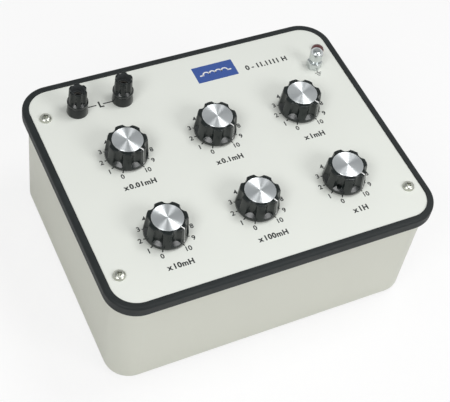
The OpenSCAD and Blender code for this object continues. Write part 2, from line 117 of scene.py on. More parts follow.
class KnobSizes(bpy.types.PropertyGroup):
    """Sizes of the dial knobs and their discs."""

    skirt_r: length("Skirt radius", "Radius of the knob at its skirt", half_width("knob_1"))
    top_r: length("Top radius", "Radius of the knob at its top", 11.8 * MM)
    low: length("Gap", "Gap between the panel and the knob", foot_of("knob_1"))
    top: length("Top", "Height of the knob's top above the panel", head_of("knob_1"))
    chamfer: length("Chamfer", "Bevel of the skirt's lower edge", 0.4 * MM)
    edge: length("Edge", "Rounding of the knob's top edge", 0.62 * MM)
    lobes: IntProperty(name="Lobes", description="Number of lobes round the knob", default=7, min=3)
    flute_in: length("Flute depth", "Distance from the axis to the bottom of a flute", 10.2 * MM)
    flute_r: length("Flute radius", "Radius of a flute", 3.5 * MM)
    shelf: length("Shelf", "Height of the skirt's edge above the panel", foot_of("knob_1") + 2.0 * MM)
    slope: angle("Slope", "Slope of the skirt inside a flute", 40)
    rest_turn: angle("Rest turn", "Direction of the pointer at rest", -60)
    disc_r: length("Disc radius", "Radius of the aluminium disc", half_width("knob_cap_1"))
    disc_low: length("Disc seat", "Height of the disc's seat above the panel", foot_of("knob_cap_1"))
    disc_top: length("Disc top", "Height of the disc's face above the panel", head_of("knob_cap_1"))
    disc_bevel: length("Disc bevel", "Bevel of the disc's edge", 0.14 * MM)
    hollow_r: length("Hollow radius", "Radius of the hollow under the knob", 8.8 * MM)
    hollow_top: length("Hollow top", "Height of the hollow's roof above the panel", 3.6 * MM)
    bore_r: length("Bore radius", "Radius of the bore for the switch shaft", 3.03 * MM)
    bore_top: length("Bore top", "Height of the bore's end above the panel", 12.6 * MM)
    pointer_w: length("Pointer width", "Width of the pointer line", 0.75 * MM)
    pointer_thin: number("Pointer thinning", "Share of its width that the line keeps lower down", 0.28)
    pointer_t: length("Pointer thickness", "Thickness of the pointer line", 0.04 * MM)
    set_screw_r: length("Set screw hole", "Radius of the hole for the set screw", 1.53 * MM)
    set_screw_z: length("Set screw height", "Height of the set screw above the panel", 5.6 * MM)


class PostSizes(bpy.types.PropertyGroup):
    """Sizes of the binding posts."""

    collar_r: length("Collar radius", "Radius of the collar on the panel", 6.5 * MM)
    collar_top_r: length("Collar top radius", "Radius of the collar at its top", 6.0 * MM)
    collar_top: length("Collar top", "Height of the collar above the panel", head_of("post_collars"))
    collar_low: length("Spigot end", "Height of the spigot's end, under the panel", foot_of("post_collars"))
    collar_edge: length("Collar edge", "Rounding of the collar's edges", 0.45 * MM)
    spigot_r: length("Spigot radius", "Radius of the spigot through the panel", 4.2 * MM)
    seat_r: length("Seat radius", "Radius of the seat for the stud's flange", 4.43 * MM)
    seat_deep: length("Seat depth", "Depth of the seat for the stud's flange", 1.4 * MM)
    stud_hole_r: length("Stud hole", "Radius of the hole for the stud", 3.04 * MM)
    cap_r: length("Cap rim radius", "Radius of the screw cap's rim", half_width("post_cap_1"))
    cap_body_r: length("Cap lobe radius", "Radius of the screw cap's lobes at their foot", 5.9 * MM)
    cap_top_r: length("Cap top radius", "Radius of the screw cap at its top", 5.4 * MM)
    cap_low: length("Cap foot", "Height of the screw cap's foot above the panel", foot_of("post_cap_1"))
    cap_top: length("Cap top", "Height of the screw cap's top above the panel", head_of("post_cap_1"))
    cap_chamfer: length("Cap chamfer", "Bevel of the screw cap's lower edge", 0.3 * MM)
    cap_edge: length("Cap edge", "Rounding of the screw cap's top edge", 0.32 * MM)
    lobes: IntProperty(name="Lobes", description="Number of lobes round the screw cap", default=6, min=3)
    flute_in: length("Flute depth", "Distance from the axis to the bottom of a flute", 4.55 * MM)
    flute_r: length("Flute radius", "Radius of a flute", 2.2 * MM)
    shelf: length("Rim top", "Height of the rim's edge above the panel", foot_of("post_cap_1") + 1.6 * MM)
    slope: angle("Slope", "Slope of the rim inside a flute", 40)
    cup_r: length("Cup radius", "Radius of the cup in the cap's top", 3.95 * MM)
    cup_floor: length("Cup floor", "Height of the cup's floor", head_of("post_studs") + 0.6 * MM)
    turn_1: angle("First cap's turn", "Direction of a lobe of the first cap at rest", 15)
    turn_2: angle("Second cap's turn", "Direction of a lobe of the second cap at rest", 5)


class EarthSizes(bpy.types.PropertyGroup):
    """Sizes of the earth terminal."""

    across: length("Base width", "Width of the hexagonal base across its flats", 8.6 * MM)
    base_top: length("Base top", "Height of the base above the panel", foot_of("earth_washer"))
    base_bevel: length("Base bevel", "Bevel of the base's edges", 0.35 * MM)
    stud_r: length("Stud radius", "Radius of the stud", 2.0 * MM)
    stud_low: length("Stud foot", "Height of the stud's lower end", foot_of("earth_base"))
    stud_top: length("Stud top", "Height of the stud's upper end above the panel", head_of("earth_base"))
    thumb_r: length("Thumb nut radius", "Radius of the thumb nut", half_width("earth_cap"))
    thumb_low: length("Thumb nut foot", "Height of the nut's foot above the panel", foot_of("earth_cap"))
    thumb_top: length("Thumb nut top", "Height of the nut's top above the panel", head_of("earth_cap"))
    neck_r: length("Neck radius", "Radius of the thumb nut's neck", 3.0 * MM)
    neck_h: length("Neck height", "Height of the thumb nut's neck", 1.2 * MM)
    dome: length("Dome", "Rounding of the thumb nut's top", 2.6 * MM)
    bore_r: length("Thread radius", "Radius of the thumb nut's bore", 2.05 * MM)
    wall: length("Thumb nut wall", "Thickness of the metal over the bore", 2.2 * MM)


class ScrewSizes(bpy.types.PropertyGroup):
    """Sizes of the panel screws and the lacquer seal."""

    head_r: length("Head radius", "Radius of the screw head", 3.6 * MM)
    head_h: length("Head height", "Height of the screw head", head_of("panel_screws"))
    shank_r: length("Shank radius", "Radius of the screw shank", 1.75 * MM)
    shank_low: length("Shank end", "Height of the shank's end, under the panel", foot_of("panel_screws"))
    recess_w: length("Recess width", "Width of the arms of the cross recess", 1.25 * MM)
    recess_len: length("Recess length", "Length of the arms of the cross recess", 5.0 * MM)
    recess_deep: length("Recess depth", "Depth of the cross recess", 1.3 * MM)
    recess_turn: angle("Recess turn", "Turn of the cross recess", 20)
    seal_r: length("Seal radius", "Radius of the lacquer seal", half_width("screw_seal"))
    seal_h: length("Seal height", "Height of the lacquer seal", head_of("screw_seal"))


class MarkSizes(bpy.types.PropertyGroup):
    """Sizes and places of the printed marks."""

    ink_t: length("Ink thickness", "Thickness of the printed ink", 0.03 * MM)
    numeral_h: length("Numeral height", "Height of the dial numerals", 3.3 * MM)
    numeral_weight: number("Numeral weight", "How far the numerals' strokes are thickened", 0.026)
    numeral_r: length("Numeral circle", "Radius of the circle that the numerals stand on", 15.7 * MM)
    numeral_drop: length("Numeral drop", "How far the circle lies in front of the knob's axis", 0.55 * MM)
    tick_in: length("Tick start", "Distance from the axis to a tick's inner end", 10.8 * MM)
    tick_out: length("Tick end", "Distance from the axis to a tick's outer end", 13.6 * MM)
    tick_w: length("Tick width", "Width of a tick", 0.68 * MM)
    label_h: length("Multiplier height", "Height of the multipliers' capitals", 3.8 * MM)
    label_weight: number("Multiplier weight", "How far the multipliers' strokes are thickened", 0.042)
    label_drop: length("Multiplier drop", "Distance from the knob's axis to its multiplier", 22.6 * MM)
    label_shift: length("Multiplier shift", "How far the multiplier lies left of the knob's axis", 0.25 * MM)
    terminal_y: length("Terminal line", "Place of the line between the posts along Y", 60.1 * MM)
    terminal_h: length("Terminal letter", "Height of the letter between the posts", 4.8 * MM)
    terminal_weight: number("Terminal letter weight", "How far the letter's strokes are thickened", 0.035)
    terminal_shift: length("Terminal letter shift", "How far the letter lies right of the middle", 0.65 * MM)
    dash_len: length("Dash length", "Length of the dash beside each post", 6.1 * MM)
    dash_gap: length("Dash gap", "Distance from the letter's middle to a dash", 2.1 * MM)
    stroke: length("Stroke", "Width of the dashes", 0.8 * MM)
    earth_drop: length("Earth sign", "Distance from the earth terminal's axis to its sign", 4.7 * MM)
    earth_stem: length("Earth sign stem", "Length of the earth sign's stem", 1.6 * MM)
    earth_gap: length("Earth sign gap", "Distance between the earth sign's bars", 1.1 * MM)
    earth_stroke: length("Earth sign stroke", "Width of the earth sign's lines", 0.56 * MM)
    plate_x: length("Plate place X", "Place of the blue plate's middle along X", 20.7 * MM)
    plate_y: length("Plate place Y", "Place of the blue plate's middle along Y", 63.2 * MM)
    plate_w: length("Plate width", "Width of the blue plate", 27.6 * MM)
    plate_d: length("Plate depth", "Depth of the blue plate", 13.2 * MM)
    coil_hump_r: length("Coil hump", "Radius of the humps of the coil sign", 2.1 * MM)
    coil_stroke: length("Coil stroke", "Width of the coil sign's line", 0.9 * MM)
    coil_lead: length("Coil lead", "Length of the coil sign's leads", 2.4 * MM)
    range_x: length("Range text place X", "Left end of the range text along X", 40.4 * MM)
    range_y: length("Range text place Y", "Middle of the range text along Y", 59.6 * MM)
    range_h: length("Range text height", "Height of the range text", 4.1 * MM)
    range_weight: number("Range text weight", "How far the range text's strokes are thickened", 0.04)


class Colours(bpy.types.PropertyGroup):
    """Main colours of the finishes."""

    panel: colour("Panel", "Ivory paint of the panel", (0.81, 0.835, 0.782))
    case: colour("Case", "Ivory of the case", (0.715, 0.725, 0.64))
    rubber: colour("Rubber", "Black rubber of the trim and feet", (0.013, 0.0165, 0.017))
    phenolic: colour("Phenolic", "Black moulding of the knobs", (0.008, 0.012, 0.0115))
    post: colour("Post", "Black moulding of the posts", (0.010, 0.013, 0.013))
    aluminium: colour("Aluminium", "Spun aluminium of the discs", (0.92, 0.96, 0.98))
    chrome: colour("Chrome", "Plating of the earth terminal", (0.66, 0.69, 0.69))
    nickel: colour("Nickel", "Plating of the screws and clamp washers", (0.55, 0.56, 0.50))
    stud: colour("Stud", "Dull plating of the post studs", (0.24, 0.23, 0.21))
    steel: colour("Steel", "Zinc plate of the nuts and washers", (0.58, 0.585, 0.58))
    brass: colour("Brass", "Brass of the switch shafts", (0.74, 0.57, 0.27))
    lacquer: colour("Lacquer", "Red lacquer over the sealed screw", (0.085, 0.017, 0.015))
    ink: colour("Ink", "Black print on the panel", (0.012, 0.014, 0.014))
    blue: colour("Blue", "Blue print of the plate", (0.035, 0.085, 0.31))
    white: colour("White", "White print and pointer lines", (0.86, 0.87, 0.86))
    board: colour("Board", "Green of the coil board", (0.03, 0.17, 0.07))
    copper: colour("Copper", "Enamelled wire of the coils", (0.42, 0.13, 0.045))
    wafer: colour("Wafer", "Brown board of the switch wafers", (0.24, 0.13, 0.055))
    sleeve: colour("Sleeve", "Sleeving of the leads", (0.42, 0.02, 0.02))


class Studio(bpy.types.PropertyGroup):
    """Camera, lamps and floor."""

    aim_x: length("Aim X", "Point on the panel that the camera looks at, along X", -16.235 * MM)
    aim_y: length("Aim Y", "Point on the panel that the camera looks at, along Y", -32.397 * MM)
    distance: length("Distance", "Distance from the camera to that point", 677.21 * MM)
    heading: angle("Heading", "Direction of view in plan, from X towards Y", 56.605)
    tilt: angle("Tilt", "How far the camera looks down", 52.052)
    roll: angle("Roll", "Turn of the camera about its line of sight", 11.026)
    lens: number("Lens", "Focal length on a 36 mm wide sensor, in millimetres", 93.822)
    lamp_power: number("Lamp power", "Scale of the power of all lamps", 1.0)
    sky: number("Sky", "Strength of the even light from the surroundings", 0.24)
    floor: colour("Floor", "Colour of the floor", (0.95, 0.95, 0.95))
    floor_glow: number("Floor glow", "Share of plain white in the floor as the camera sees it", 0.78)


class BoxSettings(bpy.types.PropertyGroup):
    """All settings of the decade box."""

    knob: PointerProperty(type=KnobSizes)
    post: PointerProperty(type=PostSizes)
    earth: PointerProperty(type=EarthSizes)
    screw: PointerProperty(type=ScrewSizes)
    mark: PointerProperty(type=MarkSizes)
    colours: PointerProperty(type=Colours)
    studio: PointerProperty(type=Studio)


class Value:
    """What a socket carries over a surface. Sums and products add Math nodes."""

    def __init__(self, nodes, socket):
        self.nodes = nodes
        self.socket = socket

    def math(self, operation, first, second):
        return self.nodes.node("ShaderNodeMath", {"operation": operation}, {0: first, 1: second})

    def __add__(self, other):
        return self.math("ADD", self, other)

    def __radd__(self, other):
        return self.math("ADD", other, self)

    def __sub__(self, other):
        return self.math("SUBTRACT", self, other)

    def __rsub__(self, other):
        return self.math("SUBTRACT", other, self)

    def __mul__(self, other):
        return self.math("MULTIPLY", self, other)

    def __rmul__(self, other):
        return self.math("MULTIPLY", other, self)

    def __gt__(self, other):
        return self.math("GREATER_THAN", self, other)

    def __lt__(self, other):
        return self.math("LESS_THAN", self, other)


class Nodes:
    """Adds nodes to one tree, a material's or the world's."""

    def __init__(self, tree):
        self.tree = tree

    def node(self, kind, settings=None, inputs=None, output=0):
        """One node: its settings first, then the values or links of its sockets."""
        made = self.tree.nodes.new(kind)
        for name, value in (settings or {}).items():
            setattr(made, name, value)
        for name, value in (inputs or {}).items():
            self.feed(made.inputs[name], value)
        return Value(self, made.outputs[output])

    def feed(self, socket, value):
        if isinstance(value, Value):
            self.tree.links.new(value.socket, socket)
        else:
            socket.default_value = value

    def mix(self, factor, first, second):
        """A colour between two others."""
        return self.node("ShaderNodeMix", {"data_type": "RGBA"}, {0: factor, 6: first, 7: second}, output=2)

    def spread(self, value, low, high, to_low=0.0, to_high=1.0):
        """Stretches a value from one range to another, and holds it at the ends."""
        ends = {1: low, 2: high, 3: to_low, 4: to_high}
        return self.node("ShaderNodeMapRange", {"clamp": True}, {0: value, **ends})


class Finish(Nodes):
    """A material: a Principled shader with constant sockets, and the nodes that vary it over the surface."""

    def __init__(self, name, **constants):
        self.material = bpy.data.materials.new(name)
        self.material.use_nodes = True
        super().__init__(self.material.node_tree)
        self.shader = self.tree.nodes["Principled BSDF"]
        for socket, value in constants.items():
            self.shader.inputs[socket.replace("_", " ")].default_value = value
        self.place = self.node("ShaderNodeTexCoord", output="Object")

    def noise(self, size, detail=2.0, roughness=0.5, stretch=None):
        """Cloudy pattern from 0 to 1 with features of about the given size in metres."""
        place = self.place
        if stretch:
            place = self.node("ShaderNodeMapping", {}, {"Vector": place, "Scale": stretch})
        shape = {"Scale": 1 / size, "Detail": detail, "Roughness": roughness}
        return self.node("ShaderNodeTexNoise", {}, {"Vector": place, **shape})

    def bands(self, direction, scale):
        """Even bands across one direction, from 0 to 1."""
        shape = {"Vector": self.place, "Scale": scale}
        return self.node("ShaderNodeTexWave", {"bands_direction": direction}, shape)

    def height(self):
        """Height above the ground."""
        return self.node("ShaderNodeSeparateXYZ", {}, {0: self.place}, output=2)

    def surface(self, **inputs):
        """Feeds the shader. A bump is given as (height, depth in metres)."""
        for name, value in inputs.items():
            if name == "bump":
                relief, depth = value
                sockets = {"Height": relief, "Distance": depth, "Strength": 1.0}
                value = self.node("ShaderNodeBump", {}, sockets)
                name = "normal"
            self.feed(self.shader.inputs[name.replace("_", " ").title()], value)
        return self.material


def tone(hue, level=1.0):
    """A colour with its brightness scaled, as a socket takes it."""
    return tuple(min(1.0, part * level) for part in hue) + (1.0,)


def paint(name, hue, peel=0.5 * MM):
    """Satin enamel with slow cloudiness and a fine orange peel."""
    finish = Finish(name)
    cloud = finish.noise(45 * MM, detail=3)
    skin = finish.noise(peel, detail=2)
    return finish.surface(
        base_color=finish.mix(cloud, tone(hue, 0.975), tone(hue, 1.02)),
        roughness=0.36 + 0.12 * finish.noise(6 * MM, detail=4),
        bump=(skin, 0.008 * MM),
    )


def rubber(name, hue):
    """Matt rubber with a fine grain and a little dust."""
    finish = Finish(name, Specular_IOR_Level=0.3)
    dust = finish.spread(finish.noise(9 * MM, detail=6, roughness=0.65), 0.45, 0.75)
    grain = finish.noise(0.28 * MM, detail=3)
    return finish.surface(
        base_color=finish.mix(dust, tone(hue), tone(hue, 1.5)),
        roughness=0.50 + 0.16 * dust,
        bump=(grain, 0.02 * MM),
    )


def moulding(name, hue, gloss, shine=0.5):
    """Glossy black moulding with faint swirls, fine handling scratches and dust where a shape asks for it."""
    finish = Finish(name, Specular_IOR_Level=shine)
    swirl = finish.noise(4 * MM, detail=6, roughness=0.6)
    scratch = finish.noise(0.5 * MM, detail=2, stretch=(1.0, 1.0, 0.12))
    dust = finish.node("ShaderNodeAttribute", {"attribute_name": "dust"}, output="Fac")
    bare = finish.mix(swirl, tone(hue, 0.8), tone(hue, 1.3))
    dusty = finish.mix(swirl, (0.045, 0.05, 0.052, 1.0), (0.075, 0.082, 0.084, 1.0))
    return finish.surface(
        base_color=finish.mix(dust, bare, dusty),
        roughness=gloss + 0.07 * swirl + 0.03 * scratch + 0.25 * dust,
        bump=(scratch, 0.003 * MM),
    )


def plated(name, hue, gloss):
    """Plated metal, a little uneven in its gloss."""
    finish = Finish(name, Metallic=1.0)
    cloud = finish.noise(2.5 * MM, detail=5, roughness=0.6)
    pit = finish.noise(0.22 * MM, detail=2)
    return finish.surface(
        base_color=finish.mix(cloud, tone(hue, 0.92), tone(hue, 1.04)),
        roughness=gloss + 0.14 * cloud,
        bump=(pit, 0.002 * MM),
    )


def spun(name, hue):
    """Spun aluminium: fine rings round the axis, which stretch its highlights along the radius."""
    finish = Finish(name, Metallic=1.0, Anisotropic=0.95, Anisotropic_Rotation=0.25)
    radius = finish.node("ShaderNodeAttribute", {"attribute_name": "radius"}, output="Fac")
    course = {"W": radius, "Scale": 9000.0, "Detail": 3.0}
    rings = finish.node("ShaderNodeTexNoise", {"noise_dimensions": "1D"}, course)
    return finish.surface(
        base_color=finish.mix(rings, tone(hue, 0.86), tone(hue, 1.06)),
        roughness=0.33 + 0.07 * rings,
        bump=(rings, 0.004 * MM),
    )


def lacquer(name, hue):
    """Brushed-on sealing lacquer, thicker and darker in places."""
    finish = Finish(name, Coat_Roughness=0.08)
    pool = finish.noise(1.6 * MM, detail=4)
    return finish.surface(
        base_color=finish.mix(pool, tone(hue, 0.65), tone(hue, 1.45)),
        roughness=0.26 + 0.15 * pool,
        coat_weight=0.3 + 0.3 * pool,
        bump=(pool, 0.05 * MM),
    )


def ink(name, hue, wear):
    """Screen print: a thin even film with a slightly broken grain."""
    finish = Finish(name)
    grain = finish.spread(finish.noise(0.35 * MM, detail=4, roughness=0.7), 0.40, 0.75)
    return finish.surface(
        base_color=finish.mix(grain, tone(hue), tone(hue, wear)),
        roughness=0.42 + 0.14 * grain,
        bump=(grain, 0.004 * MM),
    )


def turned(name, hue, gloss):
    """Turned metal with fine tool marks round the axis of each piece."""
    finish = Finish(name, Metallic=1.0)
    marks = finish.noise(0.9 * MM, detail=3, stretch=(0.3, 0.3, 6.0))
    cloud = finish.noise(5 * MM, detail=5)
    return finish.surface(
        base_color=finish.mix(cloud, tone(hue, 0.8), tone(hue, 1.05)),
        roughness=gloss + 0.2 * marks,
        bump=(marks, 0.004 * MM),
    )


def glass_board(name, hue):
    """Glass-fibre board: a fine square weave under green resist."""
    finish = Finish(name)
    weave = finish.bands("X", 420.0) * finish.bands("Y", 420.0)
    return finish.surface(
        base_color=finish.mix(weave, tone(hue, 0.75), tone(hue, 1.35)),
        roughness=0.30 + 0.15 * weave,
        bump=(weave, 0.01 * MM),
    )


def wound_drum(name, hue, low, high):
    """Ferrite drums with turns of enamelled wire between their flanges."""
    finish = Finish(name)
    flange = 1.4 * MM
    level = finish.height()
    wire = (level > low + flange) * (level < high - flange)
    turns = finish.bands("Z", 900.0)
    copper = finish.mix(turns, tone(hue, 0.45), tone(hue, 1.3))
    grain = finish.noise(0.6 * MM, detail=4)
    ferrite = finish.mix(grain, (0.02, 0.02, 0.022, 1.0), (0.05, 0.05, 0.052, 1.0))
    return finish.surface(
        base_color=finish.mix(wire, ferrite, copper),
        roughness=0.55 - 0.25 * wire,
        bump=(turns * wire, 0.05 * MM),
    )


def switch_parts(name, wafer, metal, can_low, can_high):
    """Rotary switch: a plated can and bush above a brown laminated wafer."""
    finish = Finish(name)
    level = finish.height()
    plate = level > can_low
    sheet = finish.noise(0.8 * MM, detail=5, stretch=(1.0, 0.2, 1.0))
    bright = finish.noise(3 * MM, detail=4)
    return finish.surface(
        base_color=finish.mix(
            plate,
            finish.mix(sheet, tone(wafer, 0.7), tone(wafer, 1.3)),
            finish.mix(bright, tone(metal, 0.85), tone(metal, 1.05)),
        ),
        metallic=plate,
        roughness=0.55 - 0.2 * plate + 0.1 * bright - 0.02 * (level > can_high),
        bump=(sheet, 0.01 * MM),
    )


def sleeving(name, hue):
    """Extruded plastic sleeving with faint lengthwise lines."""
    finish = Finish(name)
    lines = finish.noise(0.5 * MM, detail=3, stretch=(1.0, 1.0, 0.05))
    return finish.surface(
        base_color=finish.mix(lines, tone(hue, 0.8), tone(hue, 1.2)),
        roughness=0.35 + 0.15 * lines,
        bump=(lines, 0.01 * MM),
    )


def made_once(name, maker, *values):
    """A finish by its name, made at its first use."""
    return bpy.data.materials.get(name) or maker(name, *values)


def nickel_plate(hues):
    return made_once("nickel plate", plated, hues.nickel, 0.26)


def black_print(hues):
    return made_once("black print", ink, hues.ink, 2.2)


def dress(finish, *nodes):
    """Gives a finish to CAD nodes that keep their own shape."""
    for node in nodes:
        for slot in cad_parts[node].material_slots:
            slot.material = finish


def closed(mesh):
    """Merges the doubles of a shape and turns its faces outwards."""
    bmesh.ops.remove_doubles(mesh, verts=mesh.verts, dist=0.0005 * MM)
    bmesh.ops.recalc_face_normals(mesh, faces=mesh.faces)
    return mesh


def revolve(profile, steps, ring=False):
    """A turned shape from (radius, height) points that start and end on the axis, or close into a ring."""
    mesh = bmesh.new()
    points = [mesh.verts.new((r, 0.0, z)) for r, z in profile]
    pairs = list(zip(points, points[1:])) + ([(points[-1], points[0])] if ring else [])
    edges = [mesh.edges.new(pair) for pair in pairs]
    bmesh.ops.spin(
        mesh,
        geom=points + edges,
        cent=(0, 0, 0),
        axis=(0, 0, 1),
        angle=math.tau,
        steps=steps,
        use_merge=True,
    )
    return closed(mesh)


def arc(r, z, radius, start, end, steps):
    """Points of a round edge in a profile, from one angle to another in degrees."""
    turns = [math.radians(start + (end - start) * i / steps) for i in range(steps + 1)]
    return [(r + radius * math.cos(t), z + radius * math.sin(t)) for t in turns]


def soft_least(first, second, blend):
    """The lesser of two lengths, with the corner between them rounded."""
    share = max(0.0, min(1.0, 0.5 + 0.5 * (second - first) / blend))
    return second + (first - second) * share - blend * share * (1 - share)


def soft_most(first, second, blend):
    """The greater of two lengths, with the corner between them rounded."""
    return -soft_least(-first, -second, blend)


class FlutedSide:
    """The side of a fluted shape: lobes that taper upwards, and a skirt that slopes up into the flutes.

    rim_r is the skirt's radius where it stands outside the lobes, and 0 where it is flush with them.
    """

    ROUND = 0.16 * MM

    def __init__(self, size, r_low, r_top, low, top, chamfer, edge, rim_r=0.0):
        self.size = size
        self.r_low, self.rim_r = r_low, rim_r
        self.low, self.top, self.chamfer, self.edge = low, top, chamfer, edge
        self.draft = (r_low - r_top) / (top - low - chamfer)
        self.rise = math.tan(size.slope)

    def lobe(self, z):
        return self.r_low - self.draft * max(0.0, z - self.low - self.chamfer)

    def rim(self, z):
        return max(self.lobe(z), self.rim_r)

    def skirt(self, z):
        shelf = self.size.shelf
        return soft_least(self.rim(z), self.rim(shelf) - (z - shelf) / self.rise, self.ROUND)

    def full(self, z):
        """Radius over a lobe."""
        return min(self.rim(z), soft_most(self.lobe(z), self.skirt(z), self.ROUND))

    def course(self):
        """Profile points from the top edge down to the foot."""
        shelf, edge = self.size.shelf, self.edge
        points = []
        for step in range(6):
            turn = math.radians(90 - 18 * step)
            z = self.top - edge * (1 - math.sin(turn))
            points.append((self.full(z) - edge * (1 - math.cos(turn)), z))
        upper = self.top - edge
        crest = shelf + (self.rim(shelf) - self.size.flute_in) * self.rise + self.ROUND
        rungs, slats = 5, 14
        levels = [upper + (crest - upper) * i / rungs for i in range(1, rungs + 1)]
        levels += [crest + (shelf + self.ROUND - crest) * i / slats for i in range(1, slats + 1)]
        levels += [shelf + self.ROUND * share for share in (0.5, 0.0, -0.5, -1.0)]
        points += [(self.full(z), z) for z in levels]
        rim, low, chamfer = self.rim(self.low), self.low, self.chamfer
        points += [(rim, low + chamfer), (rim - 0.3 * chamfer, low + 0.3 * chamfer), (rim - chamfer, low)]
        return points

    def flute(self, mesh, blend):
        """Scoops the flutes out of a turned shape, between lobes that start along X."""
        size = self.size
        centre = size.flute_in + size.flute_r
        pitch = math.tau / size.lobes
        for vert in mesh.verts:
            r, z = vert.co.xy.length, vert.co.z
            inset = self.full(z) - r
            if z < size.shelf - self.ROUND or inset > self.edge * 1.001:
                continue
            turn = ((math.atan2(vert.co.y, vert.co.x) / pitch) % 1.0 - 0.5) * pitch
            chord = size.flute_r**2 - (centre * math.sin(turn)) ** 2
            if chord <= 0:
                continue
            scoop = soft_least(self.lobe(z), centre * math.cos(turn) - math.sqrt(chord), blend)
            new_r = min(self.full(z), soft_most(scoop, self.skirt(z), self.ROUND)) - inset
            vert.co.xy *= new_r / r
        bmesh.ops.recalc_face_normals(mesh, faces=mesh.faces)
        return mesh


def cut(mesh, cutter):
    """Takes a cutter's shape out of a shape."""
    carriers = []
    for shape in (mesh, cutter):
        data = bpy.data.meshes.new("cut")
        shape.to_mesh(data)
        shape.free()
        carrier = bpy.data.objects.new("cut", data)
        bpy.context.scene.collection.objects.link(carrier)
        carriers.append(carrier)
    body, tool = carriers
    modifier = body.modifiers.new("cut", "BOOLEAN")
    modifier.operation, modifier.solver, modifier.object = "DIFFERENCE", "EXACT", tool
    result = bmesh.new()
    result.from_object(body, bpy.context.evaluated_depsgraph_get())
    for carrier in carriers:
        data = carrier.data
        bpy.data.objects.remove(carrier)
        bpy.data.meshes.remove(data)
    return closed(result)


def join(*meshes):
    """One shape from several."""
    whole = bmesh.new()
    for mesh in meshes:
        data = bpy.data.meshes.new("join")
        mesh.to_mesh(data)
        mesh.free()
        whole.from_mesh(data)
        bpy.data.meshes.remove(data)
    return whole


def moved(mesh, place, turn=0.0):
    """Turns a shape about Z and carries it to its place."""
    move = Matrix.Translation(place) @ Matrix.Rotation(turn, 4, "Z")
    bmesh.ops.transform(mesh, matrix=move, verts=mesh.verts)
    return mesh


def rod(sides, radius, depth, lay):
    """A straight rod with flat ends, laid by a matrix from its place round the Z axis."""
    mesh = bmesh.new()
    ends = {"radius1": radius, "radius2": radius}
    bmesh.ops.create_cone(mesh, cap_ends=True, segments=sides, depth=depth, matrix=lay, **ends)
    return mesh


def bar(start, end, width, low, high):
    """A straight strip between two points in plan."""
    start, end = Vector(start).to_2d(), Vector(end).to_2d()
    along = end - start
    size = Matrix.Diagonal((along.length, width, high - low, 1.0))
    turn = Matrix.Rotation(math.atan2(along.y, along.x), 4, "Z")
    place = Matrix.Translation(((start + end) / 2).to_3d() + Vector((0, 0, (low + high) / 2)))
    mesh = bmesh.new()
    bmesh.ops.create_cube(mesh, size=1.0, matrix=place @ turn @ size)
    return mesh


def film(size, base=0.0):
    """Lower and upper face of a film of ink that lies on the panel, or on the given height."""
    return base - 0.3 * size.ink_t, base + 0.7 * size.ink_t


def lettering(text, height, weight, low, high, align="CENTER", spacing=1.0, sign_gap=0):
    """Text as a thin plate of ink, its figures the given height, its middle height on the X axis.

    sign_gap widens the gap after the first character, in fortieths of that character's width.
    """
    curve = bpy.data.curves.new("lettering", "FONT")
    curve.body = text
    curve.align_x = align
    curve.offset = weight
    curve.space_character = spacing
    curve.body_format[0].kerning = sign_gap
    curve.extrude = 0.5
    curve.resolution_u = 4
    carrier = bpy.data.objects.new("lettering", curve)
    bpy.context.scene.collection.objects.link(carrier)
    data = bpy.data.meshes.new_from_object(carrier.evaluated_get(bpy.context.evaluated_depsgraph_get()))
    bpy.data.objects.remove(carrier)
    bpy.data.curves.remove(curve)
    mesh = bmesh.new()
    mesh.from_mesh(data)
    bpy.data.meshes.remove(data)
    if not mesh.verts:
        raise RuntimeError(f"no lettering came of {text}")
    ends = [vert.co.y for vert in mesh.verts]
    scale = height / (max(ends) - min(ends))
    bmesh.ops.translate(mesh, vec=(0, -(max(ends) + min(ends)) / 2, 0.5), verts=mesh.verts)
    bmesh.ops.scale(mesh, vec=(scale, scale, high - low), verts=mesh.verts)
    bmesh.ops.translate(mesh, vec=(0, 0, low), verts=mesh.verts)
    return closed(mesh)


def piece(mesh, name, finish, body, slot, *replaced, crease=42):
    """Makes a finished object of a shape: smooth but for its creases, riding on its body."""
    data = bpy.data.meshes.new(name)
    mesh.to_mesh(data)
    mesh.free()
    data.shade_smooth()
    data.set_sharp_from_angle(angle=math.radians(crease))
    data.materials.append(finish)
    made = bpy.data.objects.new(name, data)
    bpy.context.scene.collection.objects.link(made)
    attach(made, body)
    if replaced:
        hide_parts(*replaced)
    return made


class DECADEBOX_OT_case(bpy.types.Operator):
    """Gives the case, the panel, the trim and the feet their finishes"""

    bl_idname = "decade_box.case"
    bl_label = "Case and panel"

    def execute(self, context):
        hues = context.scene.decade_box.colours
        dress(paint("ivory panel paint", hues.panel), "front_panel")
        dress(paint("ivory case paint", hues.case, 0.7 * MM), "case")
        black = rubber("black rubber", hues.rubber)
        dress(black, "rim_trim", "feet")
        return {"FINISHED"}


